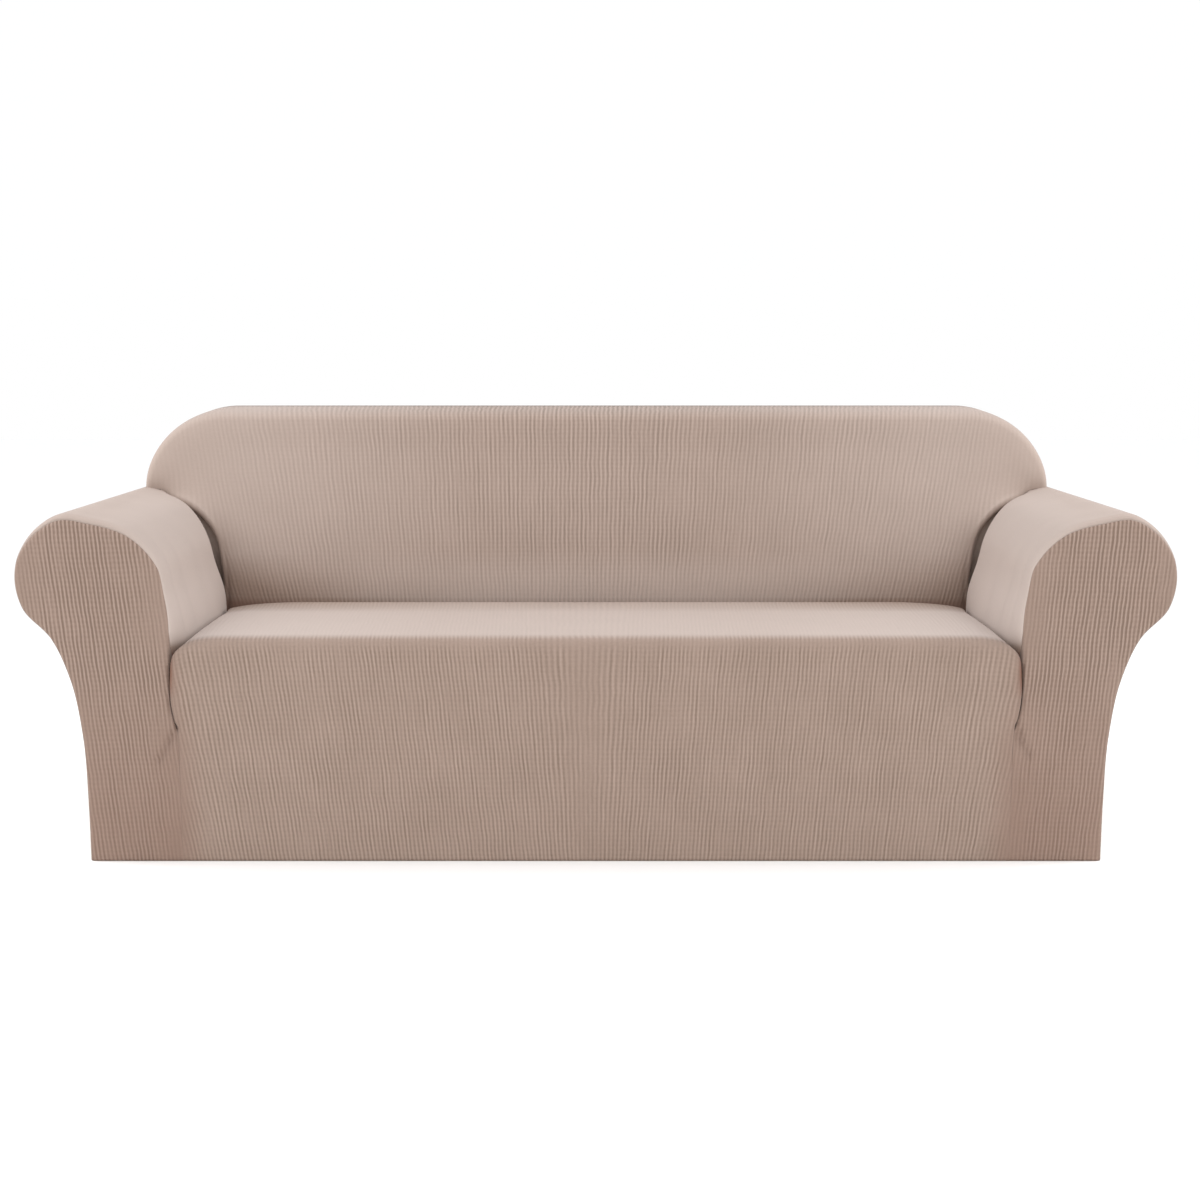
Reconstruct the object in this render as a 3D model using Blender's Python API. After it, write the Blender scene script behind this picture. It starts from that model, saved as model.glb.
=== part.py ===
"""Fitted stretch slipcover, three seats wide with rolled arms, hollow and open underneath.

Seven panels of cloth are sewn edge to edge: a seat panel with the front skirt, an inside back that
turns over the top, an outside back, two arm sleeves and two arm front facings. Each panel is one
closed sheet, CLOTH thick, and neighbours share the same points along their seam.

The layout has X across, Y from the arm fronts (0) to the outside back (DEPTH) and Z up from the
floor. An empty then puts the origin under the top of the back, where the cover hangs.
"""
import math

import bpy
import numpy as np

# Driving dimensions, in metres.
OVERALL_WIDTH = 2.10
SEAT_WIDTH = 1.55
DEPTH = 0.88
BACK_HEIGHT = 0.851
BACK_HALF_WIDTH = 0.971
BACK_CORNER_RADIUS = 0.184
ARM_HEIGHT = 0.682
SEAT_HEIGHT = 0.462
HEM_HEIGHT = 0.047
CREASE_HEIGHT = 0.400
HEM_TURN = 0.022
CLOTH = 0.002
SEAM_GAP = 0.0003

# Soft edges. The back's padded edge rolls in over BACK_EDGE_INSET. An arm front turns into its sleeve
# over the rims each side of their seam, and fully so where the sleeve looks up.
BACK_EDGE_INSET = 0.045
BACK_EDGE_POWER = 3.0
FACING_TURN = 0.004
FACING_TURN_INSET = 0.011
LEAST_TURN = 0.3
FACING_RIM = 0.010
SLEEVE_RIM = 0.022
FACING_CROWN = 0.003

# Creases. The seat falls steeply beside its seam over SIDE_SLIT. Between back and arm, the back's
# side wall is SLIT_LIP wide and starts SLIT_REACH outside the line that the seam is drawn from.
SIDE_SLIT = 0.014
SLIT_REACH = 0.018
SLIT_LIP = 0.014

# The mitre between two sheets gets no longer than this many thicknesses of cloth.
MITRE_LIMIT = 1.5
LEAST_SEAM_SPREAD = 0.6

# The hanging point's place on the back's top edge: 0 at the face, 1 at the rear seam.
HANGING_SHARE = 4 / 6

HALF_SEAT = SEAT_WIDTH / 2
ARM_BREADTH = (OVERALL_WIDTH - SEAT_WIDTH) / 2

# Section of an arm seen from the front, from the seat crease over the roll to the hem.
# out: distance outwards from the side of the seat; drop: distance below the top of the arm.
ARM_SECTION = (
    # out,  drop
    (0.000, ARM_HEIGHT - CREASE_HEIGHT),
    (0.000, 0.158),
    (0.016, 0.085),
    (0.065, 0.031),
    (0.140, 0.006),
    (0.191, 0.000),
    (0.234, 0.024),
    (0.269, 0.075),
    (0.276, 0.112),
    (0.264, 0.170),
    (0.213, 0.227),
    (0.181, 0.300),
    (0.161, 0.404),
    (0.154, 0.530),
    (0.152, ARM_HEIGHT - HEM_HEIGHT),
)
CROWN_ROW = 5
ARM_STEPS = 24

# Sections of the seat panel from the front hem up the skirt, over the front edge and back to the
# crease: y and z at the middle of the width, y and z at the side seam, the half width there, the
# width over which the side falls, the share of the fall that comes in one steep step at the seam,
# and the mesh rows up to the next section.
SEAT_SECTIONS = (
    # mid_y,  mid_z,                edge_y, edge_z, half,       roll,  steep, rows
    (0.000, HEM_HEIGHT, 0.000, HEM_HEIGHT, 0.756, 0.060, 0.00, 1),
    (-0.002, 0.130, 0.000, 0.130, 0.757, 0.060, 0.00, 2),
    (-0.004, 0.212, 0.001, 0.210, 0.758, 0.050, 0.10, 3),
    (-0.006, 0.284, 0.003, 0.281, 0.7605, 0.045, 0.40, 3),
    (-0.009, 0.336, 0.008, 0.330, 0.7715, 0.045, 0.50, 3),
    (-0.012, 0.400, 0.010, 0.378, HALF_SEAT, 0.050, 0.50, 2),
    (-0.009, SEAT_HEIGHT - 0.006, 0.024, 0.410, HALF_SEAT, 0.066, 0.50, 2),
    (0.012, SEAT_HEIGHT + 0.002, 0.046, 0.408, HALF_SEAT, 0.066, 0.60, 1),
    (0.200, SEAT_HEIGHT + 0.001, 0.215, 0.404, HALF_SEAT, 0.060, 0.76, 1),
    (0.410, SEAT_HEIGHT - 0.004, 0.425, 0.402, HALF_SEAT, 0.065, 0.74, 1),
    (0.552, SEAT_HEIGHT - 0.010, 0.562, CREASE_HEIGHT, HALF_SEAT, 0.080, 0.60, 2),
    (0.586, 0.440, 0.604, CREASE_HEIGHT, HALF_SEAT, 0.120, 0.45, 1),
    (0.594, 0.408, 0.614, CREASE_HEIGHT, HALF_SEAT, 0.150, 0.20, 1),
    (0.604, CREASE_HEIGHT, 0.622, CREASE_HEIGHT, HALF_SEAT, 0.170, 0.00, 0),
)
FRONT_EDGE_SECTION = 6
SKIRT_ROWS = sum(row[7] for row in SEAT_SECTIONS[:FRONT_EDGE_SECTION])

# Sections up the face of the inside back: how far up, y at the middle, y beside the arm, the width
# over which the side falls from one to the other, how far the arm seam is drawn outwards into the arm
# and how far behind the face it lies, and the y where the inside of the arm starts to turn into it.
BACK_SECTIONS = (
    # up,   mid_y, edge_y, roll,  draw,  slit,  turn_y
    (0.00, 0.604, 0.622, 0.170, 0.000, 0.000, 0.560),
    (0.06, 0.609, 0.630, 0.170, 0.010, 0.005, 0.570),
    (0.13, 0.604, 0.628, 0.150, 0.020, 0.014, 0.562),
    (0.22, 0.596, 0.622, 0.120, 0.028, 0.036, 0.540),
    (0.32, 0.602, 0.618, 0.095, 0.035, 0.048, 0.508),
    (0.43, 0.612, 0.619, 0.080, 0.040, 0.050, 0.486),
    (0.55, 0.625, 0.622, 0.070, 0.042, 0.050, 0.488),
    (0.67, 0.640, 0.628, 0.060, 0.037, 0.046, 0.520),
    (0.79, 0.656, 0.642, 0.055, 0.027, 0.030, 0.566),
    (0.90, 0.669, 0.666, 0.050, 0.014, 0.005, 0.616),
    (1.00, 0.678, 0.696, 0.045, 0.000, 0.000, 0.650),
)
FACE_ROWS = len(BACK_SECTIONS)
BACK_EDGE_ROWS = 6
SLEEVE_OUTER_ROWS = 26
SLEEVE_CORNER_ROWS = 2
FACING_COLUMNS = 12
FACING_COLUMN_DRAW = 1.3

# Columns of mesh by distance from the side seam: close together where the cloth dives into a crease,
# then even to the middle. The back's columns keep their spacing beside the arm, as far as
# CLOSE_REACH; those up to CORNER_REACH fan out over its round corner. BESIDE_POWER sets how late, on
# the way up, the close columns leave the arm's direction for the round corner's.
CREASE_COLUMNS = (0.0, 0.006, 0.012, 0.020, 0.030, 0.040, 0.052, 0.070, 0.098, 0.135)
WIDE_COLUMNS = 11
CLOSE_REACH = 0.034
CORNER_REACH = 0.368
BESIDE_POWER = 4

# Main folds pressed into the front: a short pinch at each side of the seat front that hooks
# outwards over the arm front, and the soft pulls under it. side -1 is the left of the front view.
FRONT_FOLDS = (
    # side, x0,    z0,    x1,    z1,    width, depth
    (-1, 0.763, 0.292, 0.774, 0.260, 0.013, 0.0070),
    (-1, 0.774, 0.260, 0.795, 0.240, 0.013, 0.0045),
    (-1, 0.770, 0.235, 0.760, 0.090, 0.024, 0.0020),
    (1, 0.768, 0.294, 0.771, 0.268, 0.013, 0.0070),
    (1, 0.771, 0.268, 0.788, 0.250, 0.013, 0.0050),
    (1, 0.773, 0.225, 0.762, 0.110, 0.026, 0.0015),
)

# Base colours, linear RGB, and surface values of the woven cloth.
CLOTH_COLOUR = (0.388, 0.287, 0.242, 1.0)
CLOTH_ROUGHNESS = 0.9


def through(rows, counts):
    """Points on a smooth curve through the rows of a table, counts[i] of them in span i. Only the first
    four columns, which are places, set the pace."""
    rows = np.asarray(rows, float)
    spans = np.linalg.norm(np.diff(rows[:, :4], axis=0), axis=1)[:, None]
    slopes = np.diff(rows, axis=0) / spans
    inner = (slopes[:-1] * spans[1:] + slopes[1:] * spans[:-1]) / (spans[:-1] + spans[1:])
    slopes = np.vstack([slopes[:1], inner, slopes[-1:]])
    points = []
    for i, count in enumerate(counts):
        start, end = rows[i:i + 2]
        leave, arrive = slopes[i] * spans[i], slopes[i + 1] * spans[i]
        t = np.arange(count)[:, None] / count
        points.append(start + leave * t + (3 * (end - start) - 2 * leave - arrive) * t ** 2
                      + (2 * (start - end) + leave + arrive) * t ** 3)
    return np.vstack(points + [rows[-1:]])


def roll_off(distance, width):
    """1 at a seam and 0 where the cloth is level: a padded edge's quarter-round section."""
    across = np.clip(1 - distance / width, 0, 1)
    return 1 - np.sqrt(1 - across ** 2)


def dive(distance, width, lip=0.1):
    """1 at a seam and 0 from width on: the slope of cloth drawn into a crease, below a round lip."""
    across = np.clip(1 - distance / width, 0, 1)
    return across ** 2 / (across + lip) * (1 + lip)


class ArmSection:
    """The arm's outline by length along it: 0 at the crease, 1 at the crown, 2 at the hem."""

    def __init__(self):
        table = np.array(ARM_SECTION)
        breadth = ARM_BREADTH / table[:, 0].max()
        points = np.column_stack([HALF_SEAT + table[:, 0] * breadth, ARM_HEIGHT - table[:, 1]])
        self.points = through(points, [ARM_STEPS] * (len(table) - 1))
        steps = np.linalg.norm(np.diff(self.points, axis=0), axis=1)
        length = np.concatenate([[0], np.cumsum(steps)])
        crown = CROWN_ROW * ARM_STEPS
        rest = length[crown:] - length[crown]
        self.crown_x = self.points[crown, 0]
        self.place = np.concatenate([length[:crown] / length[crown], 1 + rest / rest[-1]])

    def at(self, place):
        """x and z of places on the outline."""
        return np.array([np.interp(place, self.place, self.points[:, axis]) for axis in (0, 1)])

    def outward(self, place, step=0.01):
        """Unit normal of the outline there, pointing out of the arm."""
        run = self.at(np.minimum(place + step, 2)) - self.at(np.maximum(place - step, 0))
        return np.array([-run[1], run[0]]) / np.hypot(*run)

    def place_of_x(self, x):
        """The place between the inside of the roll and the crown that lies at x."""
        upper = (self.place >= 0.5) & (self.place <= 1)
        return np.interp(x, self.points[upper, 0], self.place[upper])


ARM = ArmSection()


def column_offsets():
    """Distance of each column from the side seam, from the seam to the middle."""
    return np.concatenate([CREASE_COLUMNS, np.linspace(CREASE_COLUMNS[-1], HALF_SEAT, WIDE_COLUMNS + 1)[1:]])


def fold_depth(side, x, z):
    """How far the folds press the front face in, on one side of the middle."""
    depth = np.zeros(np.broadcast(x, z).shape)
    for fold_side, x0, z0, x1, z1, width, deep in FRONT_FOLDS:
        if fold_side == side:
            run = np.array([x1 - x0, z1 - z0])
            along = np.clip(((x - x0) * run[0] + (z - z0) * run[1]) / run.dot(run), 0, 1)
            gap = np.hypot(x - x0 - along * run[0], z - z0 - along * run[1])
            depth += deep * np.exp(-(gap / width) ** 2)
    return depth


def seat_grid():
    """Rows from the front hem to the crease under the back, columns from left to right."""
    table = np.array(SEAT_SECTIONS)
    sections = through(table[:, :7], table[:-1, 7].astype(int))
    mid_y, mid_z, edge_y, edge_z, half, roll, steep = sections.T[:, :, None]
    offsets = column_offsets()[None]
    share = (1 - steep) * roll_off(offsets, roll) + steep * roll_off(offsets, SIDE_SLIT)
    x = half * (1 - offsets / HALF_SEAT)
    y = mid_y + (edge_y - mid_y) * share
    z = mid_z + (edge_z - mid_z) * share
    left, right = (np.stack([side * x, y + fold_depth(side, x, z), z], axis=2) for side in (-1, 1))
    return np.concatenate([left, right[:, -2::-1]], axis=1)


def rear_edge(share):
    """Share of the inset and of the depth covered, from the face of the back (0) to the rear seam (1)."""
    angle = share * math.pi / 2
    inset = np.sin(angle) ** (2 / BACK_EDGE_POWER)
    return inset, 1 - np.maximum(np.cos(angle), 0) ** (2 / BACK_EDGE_POWER)


def arm_back_seam():
    """Place on the arm outline, and x, y, z, of each point where the arm sleeve meets the back."""
    up, _, edge_y, _, draw, slit, _ = np.array(BACK_SECTIONS).T
    face_x = ARM.crown_x - BACK_EDGE_INSET
    places = up * ARM.place_of_x(face_x)
    x, z = ARM.at(places) - ARM.outward(places) * draw
    inset, back = rear_edge(np.arange(1, BACK_EDGE_ROWS + 1) / BACK_EDGE_ROWS)
    edge_places = ARM.place_of_x(face_x + BACK_EDGE_INSET * inset)
    over_x, over_z = ARM.at(edge_places)
    over_y = edge_y[-1] + (DEPTH - edge_y[-1]) * back
    points = np.vstack([np.column_stack([x, edge_y + slit, z]), np.column_stack([over_x, over_y, over_z])])
    return np.concatenate([places, edge_places]), points


def back_outline(offsets):
    """x, z and outward direction on the right half of the back's outline, from the arm to the middle."""
    centre = np.array([BACK_HALF_WIDTH - BACK_CORNER_RADIUS, BACK_HEIGHT - BACK_CORNER_RADIUS])
    start = math.asin((ARM_HEIGHT - centre[1]) / BACK_CORNER_RADIUS)
    corner = (math.pi / 2 - start) * BACK_CORNER_RADIUS
    length = np.interp(offsets, (0, CLOSE_REACH, CORNER_REACH, HALF_SEAT),
                       (0, CLOSE_REACH, corner, corner + centre[0]))
    angle = np.minimum(start + length / BACK_CORNER_RADIUS, math.pi / 2)
    out = np.stack([np.cos(angle), np.sin(angle)], axis=-1)
    points = centre + BACK_CORNER_RADIUS * out
    points[:, 0] -= np.maximum(length - corner, 0)
    return points, out


def half_back(seat, side):
    """One side of the back from its arm seam to the middle, as if it were the right one."""
    up, mid_y, edge_y, roll, draw, slit, _ = np.array(BACK_SECTIONS).T[:, :, None]
    places, seam = arm_back_seam()
    offsets = column_offsets()
    outline, out = back_outline(offsets)
    crease = (seat[-1] if side < 0 else seat[-1, ::-1])[:len(offsets)] * (side, 1, 1)
    start = crease[:, [0, 2]][None]
    end = (outline - BACK_EDGE_INSET * out)[None]
    seam_face = seam[:FACE_ROWS, [0, 2]][:, None]
    blend = up[:, :, None] ** BESIDE_POWER
    reach = np.minimum(offsets, CLOSE_REACH)[None, :, None]
    away = ARM.outward(places[:FACE_ROWS]).T[:, None] * reach * (1 - blend)
    beside = seam_face + away + (end - seam_face[-1:]) * blend
    guide = beside[:, np.argmax(offsets >= CLOSE_REACH)][:, None]
    near_end = guide[-1:]
    bend = guide - guide[:1] - (near_end - guide[:1]) * up[:, :, None]
    fade = np.clip((HALF_SEAT - offsets) / (HALF_SEAT - CLOSE_REACH), 0, 1)[None, :, None] ** 2
    level = start + (end - start) * up[:, :, None] + bend * fade
    flat = np.where((offsets <= CLOSE_REACH)[None, :, None], beside, level)
    gap = np.linalg.norm(flat - seam_face, axis=2)
    y = mid_y + (edge_y - mid_y) * roll_off(np.maximum(gap - draw, 0), roll)
    y += slit * roll_off(gap - np.maximum(draw - SLIT_REACH, 0), SLIT_LIP)
    face = np.stack([flat[:, :, 0], y, flat[:, :, 1]], axis=2)
    inset, back = rear_edge(np.arange(1, BACK_EDGE_ROWS + 1) / BACK_EDGE_ROWS)
    over = end + BACK_EDGE_INSET * inset[:, None, None] * out[None]
    over_y = face[-1:, :, 1] + (DEPTH - face[-1:, :, 1]) * back[:, None]
    grid = np.concatenate([face, np.stack([over[:, :, 0], over_y, over[:, :, 1]], axis=2)])
    grid[0] = crease
    grid[:, 0] = seam
    return grid * (side, 1, 1)


def back_grid(seat):
    """Rows from the seat crease up the face and over the top to the rear seam, columns left to right."""
    left, right = half_back(seat, -1), half_back(seat, 1)
    return np.concatenate([left, right[:, -2::-1]], axis=1)


def sleeve_grid(side, seat):
    """Rows from the seat crease over the roll to the side hem, columns from front to rear."""
    crease = (seat[:, 0] if side < 0 else seat[:, -1])[SKIRT_ROWS:] * (side, 1, 1)
    share = (crease[:, 1] - crease[0, 1]) / (crease[-1, 1] - crease[0, 1])
    seam_places, seam = arm_back_seam()
    inner = len(seam) - 1
    row = np.arange(inner + SLEEVE_OUTER_ROWS + 1)
    outer = np.maximum(row - inner, 0) / SLEEVE_OUTER_ROWS
    front_place = np.minimum(row / inner, 1) + outer
    rear_place = seam_places[np.minimum(row, inner)] + outer
    rear_y = seam[np.minimum(row, inner), 1][:, None]
    sections = np.array(BACK_SECTIONS)
    draw, turn_y = (np.interp(row, np.arange(FACE_ROWS), sections[:, part])[:, None] for part in (4, 6))
    corner = np.maximum(1 - row / SLEEVE_CORNER_ROWS, 0)[:, None]
    front_y = FACING_TURN + (crease[0, 1] - FACING_TURN) * corner
    place = front_place[:, None] + (rear_place - front_place)[:, None] * share
    y = front_y + (rear_y - front_y) * share
    pull = draw * dive(rear_y - y, rear_y - turn_y)
    upward = np.clip(ARM.outward(place)[1], LEAST_TURN, 1)
    turn = FACING_TURN_INSET * roll_off(y - front_y, SLEEVE_RIM) * upward
    x, z = ARM.at(place) - ARM.outward(place) * (pull + turn)
    grid = np.stack([x, y, z], axis=2)
    grid[0] = crease
    grid[:inner + 1, -1] = seam
    return grid * (side, 1, 1)


def facing_grids(side, seat, sleeve):
    """The facing as two grids: a rim that rolls in from the seam, and the face inside it."""
    edge = seat[:, 0] if side < 0 else seat[:, -1]
    seam = np.vstack([edge[:SKIRT_ROWS], sleeve[:, 0]]) * (side, 1, 1)
    run = np.gradient(seam, axis=0)[:, [0, 2]]
    inward = np.column_stack([run[:, 1], -run[:, 0]]) / np.hypot(run[:, 0], run[:, 1])[:, None]
    for end in (0, -1):
        inward[end] = (math.copysign(1, inward[end, 0]), 0)
    inward[:, 1] *= np.clip((np.arange(len(seam)) - SKIRT_ROWS) / SLEEVE_CORNER_ROWS, 0, 1)
    x, z = (seam[:, [0, 2]] + inward * FACING_RIM).T
    rim = np.column_stack([x, fold_depth(side, x, z), z])
    rise = (len(seam) - 1 - FACING_COLUMNS) // 2
    left, right = rim[:rise + 1, None], rim[rise + FACING_COLUMNS:][::-1][:, None]
    top = rim[rise:rise + FACING_COLUMNS + 1][None]
    u = np.linspace(0, 1, FACING_COLUMNS + 1)[None, :, None] ** FACING_COLUMN_DRAW
    v = np.linspace(0, 1, rise + 1)[:, None, None]
    face = left * (1 - u) + right * u + (top - top[:, :1] * (1 - u) - top[:, -1:] * u) * v
    crown = FACING_CROWN * np.sin(math.pi * u) * np.sin(math.pi * v)
    face[:, :, 1] = fold_depth(side, face[:, :, 0], face[:, :, 2]) - crown[:, :, 0]
    face[:, 0], face[:, -1], face[-1] = left[:, 0], right[:, 0], top[0]
    return np.array([seam, rim]) * (side, 1, 1), face * (side, 1, 1)


def hem_turned(row):
    """The row of points on the inner edge of a turned-under hem, from the row on its fold."""
    hem_half = HALF_SEAT + ARM_SECTION[-1][0]
    x = row[:, 0] * (1 - HEM_TURN / hem_half)
    y = DEPTH / 2 + (row[:, 1] - DEPTH / 2) * (1 - HEM_TURN / (DEPTH / 2))
    return np.column_stack([x, y, row[:, 2]])


class Panel:
    """Outer face of one panel: welded points and triangles or flat polygons, seen from outside."""

    def __init__(self, name):
        self.name = name
        self.points = []
        self.faces = []
        self.index = {}

    def vertex(self, point):
        key = tuple(np.round(point, 6) + 0.0)
        if key not in self.index:
            self.index[key] = len(self.points)
            self.points.append(np.array(point, float))
        return self.index[key]

    def polygon(self, points):
        corners = [self.vertex(point) for point in points]
        self.faces.append(corners)

    def grid(self, grid, flip=False):
        """Two triangles in each cell, split along the shorter diagonal."""
        for row in range(len(grid) - 1):
            for column in range(len(grid[0]) - 1):
                a, b = grid[row][column], grid[row][column + 1]
                c, d = grid[row + 1][column + 1], grid[row + 1][column]
                if flip:
                    b, d = d, b
                if np.linalg.norm(c - a) <= np.linalg.norm(d - b):
                    cells = ((a, b, c), (a, c, d))
                else:
                    cells = ((a, b, d), (b, c, d))
                for cell in cells:
                    self.polygon(cell)

    def keys(self):
        return [tuple(np.round(point, 6) + 0.0) for point in self.points]

    def normals(self):
        """Unit normal at each point, weighted by the corner angles of its faces."""
        total = np.zeros((len(self.points), 3))
        for face in self.faces:
            corners = np.array([self.points[i] for i in face])
            normal = np.zeros(3)
            for first, second in zip(corners, np.roll(corners, -1, axis=0)):
                normal += np.cross(first - corners[0], second - corners[0])
            normal /= np.linalg.norm(normal)
            for place, i in enumerate(face):
                ahead = corners[(place + 1) % len(face)] - corners[place]
                behind = corners[place - 1] - corners[place]
                cosine = ahead.dot(behind) / (np.linalg.norm(ahead) * np.linalg.norm(behind))
                total[i] += normal * math.acos(max(-1.0, min(1.0, cosine)))
        return total / np.linalg.norm(total, axis=1)[:, None]

    def spread(self, normals):
        """Cosine between each point's normal and the faces round it, on average."""
        cosines = [[] for _ in self.points]
        for face in self.faces:
            corners = np.array([self.points[i] for i in face])
            normal = np.cross(corners[1] - corners[0], corners[2] - corners[0])
            length = np.linalg.norm(normal)
            for i in face:
                cosines[i].append(normal.dot(normals[i]) / length if length else 1.0)
        return [sum(row) / len(row) for row in cosines]

    def rim(self):
        """Edges with a face on one side only, in the direction that face runs."""
        edges = set()
        for face in self.faces:
            edges.update(zip(face, face[1:] + face[:1]))
        return [edge for edge in edges if edge[::-1] not in edges]


def sheets(panels):
    """Closed sheets from the outer faces: mitred along the seams and parted there by SEAM_GAP."""
    keys = {panel.name: panel.keys() for panel in panels}
    shared = {}
    for panel in panels:
        for key, normal in zip(keys[panel.name], panel.normals()):
            shared[key] = shared.get(key, 0) + normal
    rims = {panel.name: sorted(panel.rim()) for panel in panels}
    seen = {}
    for panel in panels:
        for a, b in rims[panel.name]:
            pair = frozenset((keys[panel.name][a], keys[panel.name][b]))
            seen[pair] = seen.get(pair, 0) + 1
    solids = []
    for panel in panels:
        own = keys[panel.name]
        normals = np.array([shared[key] / np.linalg.norm(shared[key]) for key in own])
        mitre = np.clip(1 / np.clip(panel.spread(normals), 0.1, 1), 1, MITRE_LIMIT)
        points = np.array(panel.points)
        pulls = {}
        for a, b in rims[panel.name]:
            if seen[frozenset((own[a], own[b]))] < 2:
                continue
            run = points[b] - points[a]
            for i in (a, b):
                inward = np.cross(normals[i], run)
                pulls.setdefault(i, []).append(inward / np.linalg.norm(inward))
        outer = points.copy()
        for i, pull in pulls.items():
            spread = 1 + (pull[0].dot(pull[1]) if len(pull) == 2 else 1)
            outer[i] = points[i] + sum(pull) * (2 / len(pull)) / max(spread, LEAST_SEAM_SPREAD) * SEAM_GAP / 2
        inner = outer - normals * (mitre * CLOTH)[:, None]
        count = len(points)
        faces = [list(face) for face in panel.faces]
        faces += [[i + count for i in reversed(face)] for face in panel.faces]
        for a, b in rims[panel.name]:
            if own[a] < own[b]:
                faces += [[b, a, b + count], [a, a + count, b + count]]
            else:
                faces += [[b, a, a + count], [b, a + count, b + count]]
        solids.append((panel.name, np.vstack([outer, inner]), faces))
    return solids


def make_panels():
    """The outer faces of the seven panels."""
    seat = seat_grid()
    back = back_grid(seat)
    seat_panel = Panel("seat_panel")
    seat_panel.grid(np.concatenate([hem_turned(seat[0])[None], seat]))
    back_panel = Panel("back_panel")
    back_panel.grid(back)
    panels = [seat_panel, back_panel]
    outer_edges = {}
    for side, word in ((-1, "left"), (1, "right")):
        sleeve = sleeve_grid(side, seat)
        outer_edges[side] = sleeve[len(back) - 1:, -1]
        arm = Panel(f"arm_{word}")
        arm.grid(np.concatenate([sleeve, hem_turned(sleeve[-1])[None]]), flip=side > 0)
        rim, face = facing_grids(side, seat, sleeve)
        hem = np.vstack([rim[0, :1], face[0], rim[0, -1:]])
        facing = Panel(f"arm_front_{word}")
        facing.grid(rim, flip=side > 0)
        facing.grid(face, flip=side < 0)
        facing.grid(np.array([hem_turned(hem), hem]), flip=side < 0)
        panels += [arm, facing]
    left, right = outer_edges[-1][::-1], outer_edges[1]
    rear_panel = Panel("rear_panel")
    rear_panel.polygon(np.vstack([left, back[-1][1:-1], right]))
    rear_hem = np.array([right[-1], left[0]])
    rear_panel.grid(np.array([rear_hem, hem_turned(rear_hem)]), flip=True)
    return panels + [rear_panel]


def hanging_point():
    """The middle of the underside of the cloth on top of the back, where the cover is held up."""
    inset, back = rear_edge(HANGING_SHARE)
    face_y = BACK_SECTIONS[-1][1]
    y = face_y + (DEPTH - face_y) * back
    return np.array([0, y, BACK_HEIGHT - BACK_EDGE_INSET * (1 - inset) - CLOTH])


def cloth_material():
    """Stretch jacquard in pale taupe."""
    material = bpy.data.materials.new("stretch_jacquard")
    material.use_nodes = True
    shader = material.node_tree.nodes["Principled BSDF"]
    shader.inputs["Base Color"].default_value = CLOTH_COLOUR
    shader.inputs["Roughness"].default_value = CLOTH_ROUGHNESS
    shader.inputs["Metallic"].default_value = 0.0
    return material


def main():
    for item in list(bpy.data.objects):
        bpy.data.objects.remove(item, do_unlink=True)
    hanger = bpy.data.objects.new("under_top_of_back", None)
    hanger.location = hanging_point() * -1
    bpy.context.scene.collection.objects.link(hanger)
    material = cloth_material()
    for name, points, faces in sheets(make_panels()):
        mesh = bpy.data.meshes.new(name)
        mesh.from_pydata(points.tolist(), [], faces)
        mesh.materials.append(material)
        mesh.validate()
        mesh.shade_smooth()
        item = bpy.data.objects.new(name, mesh)
        bpy.context.scene.collection.objects.link(item)
        item.parent = hanger


main()
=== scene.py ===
"""Looks of the fitted stretch slipcover: seven sewn panels of rib jacquard over the solids of the same names.

Sizes are metres. The panels are laid out with X across, Y from the arm fronts (0) to the outside back and Z
up from the floor, and then moved so that the origin is under the top of the back, where the cover hangs.
"""
import math

import bpy
import numpy as np
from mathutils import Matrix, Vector


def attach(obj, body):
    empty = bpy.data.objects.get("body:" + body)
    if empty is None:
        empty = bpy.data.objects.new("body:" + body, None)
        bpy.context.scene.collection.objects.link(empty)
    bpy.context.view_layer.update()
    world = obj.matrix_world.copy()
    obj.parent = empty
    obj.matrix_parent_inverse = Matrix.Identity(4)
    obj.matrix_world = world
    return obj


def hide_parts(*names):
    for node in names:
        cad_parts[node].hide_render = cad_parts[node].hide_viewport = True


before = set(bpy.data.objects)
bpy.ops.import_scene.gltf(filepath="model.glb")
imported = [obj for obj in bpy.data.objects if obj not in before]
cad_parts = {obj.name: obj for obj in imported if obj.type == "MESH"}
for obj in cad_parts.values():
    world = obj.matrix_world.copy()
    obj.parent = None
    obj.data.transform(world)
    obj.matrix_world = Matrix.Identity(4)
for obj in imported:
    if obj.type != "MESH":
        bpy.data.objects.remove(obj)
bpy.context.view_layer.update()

# ---------------------------------------------------------------- sizes, as in the solids
OVERALL_WIDTH = 2.10
SEAT_WIDTH = 1.55
DEPTH = 0.88
BACK_HEIGHT = 0.851
BACK_HALF_WIDTH = 0.971
BACK_CORNER_RADIUS = 0.184
ARM_HEIGHT = 0.682
SEAT_HEIGHT = 0.462
HEM_HEIGHT = 0.047
CREASE_HEIGHT = 0.400
HEM_TURN = 0.022
CLOTH = 0.002
BACK_EDGE_INSET = 0.045
HALF_SEAT = SEAT_WIDTH / 2
ARM_BREADTH = (OVERALL_WIDTH - SEAT_WIDTH) / 2
# Under the top of the back.
HANGING_POINT = np.array([0.0, 0.752748, 0.844885])

# ---------------------------------------------------------------- sizes of the cloth alone
# The back's edge is squarer than in the solids: its sharpness, and how far its two faces slope towards it.
BACK_EDGE_POWER = 6.5
BACK_EDGE_LEAN = 0.045
BACK_EDGE_SLOPE = 0.12
# Where an arm front meets its sleeve: how far behind the face the seam lies, how far it is drawn in, and the
# width of the roll on either side of it.
FACING_TURN = 0.004
FACING_TURN_INSET = 0.011
FACING_RIM = 0.010
SLEEVE_RIM = 0.022
RIM_SHARES = (0.0, 0.1, 0.22, 0.38, 0.6, 1.0)
RIM_POWER = 3
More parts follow.
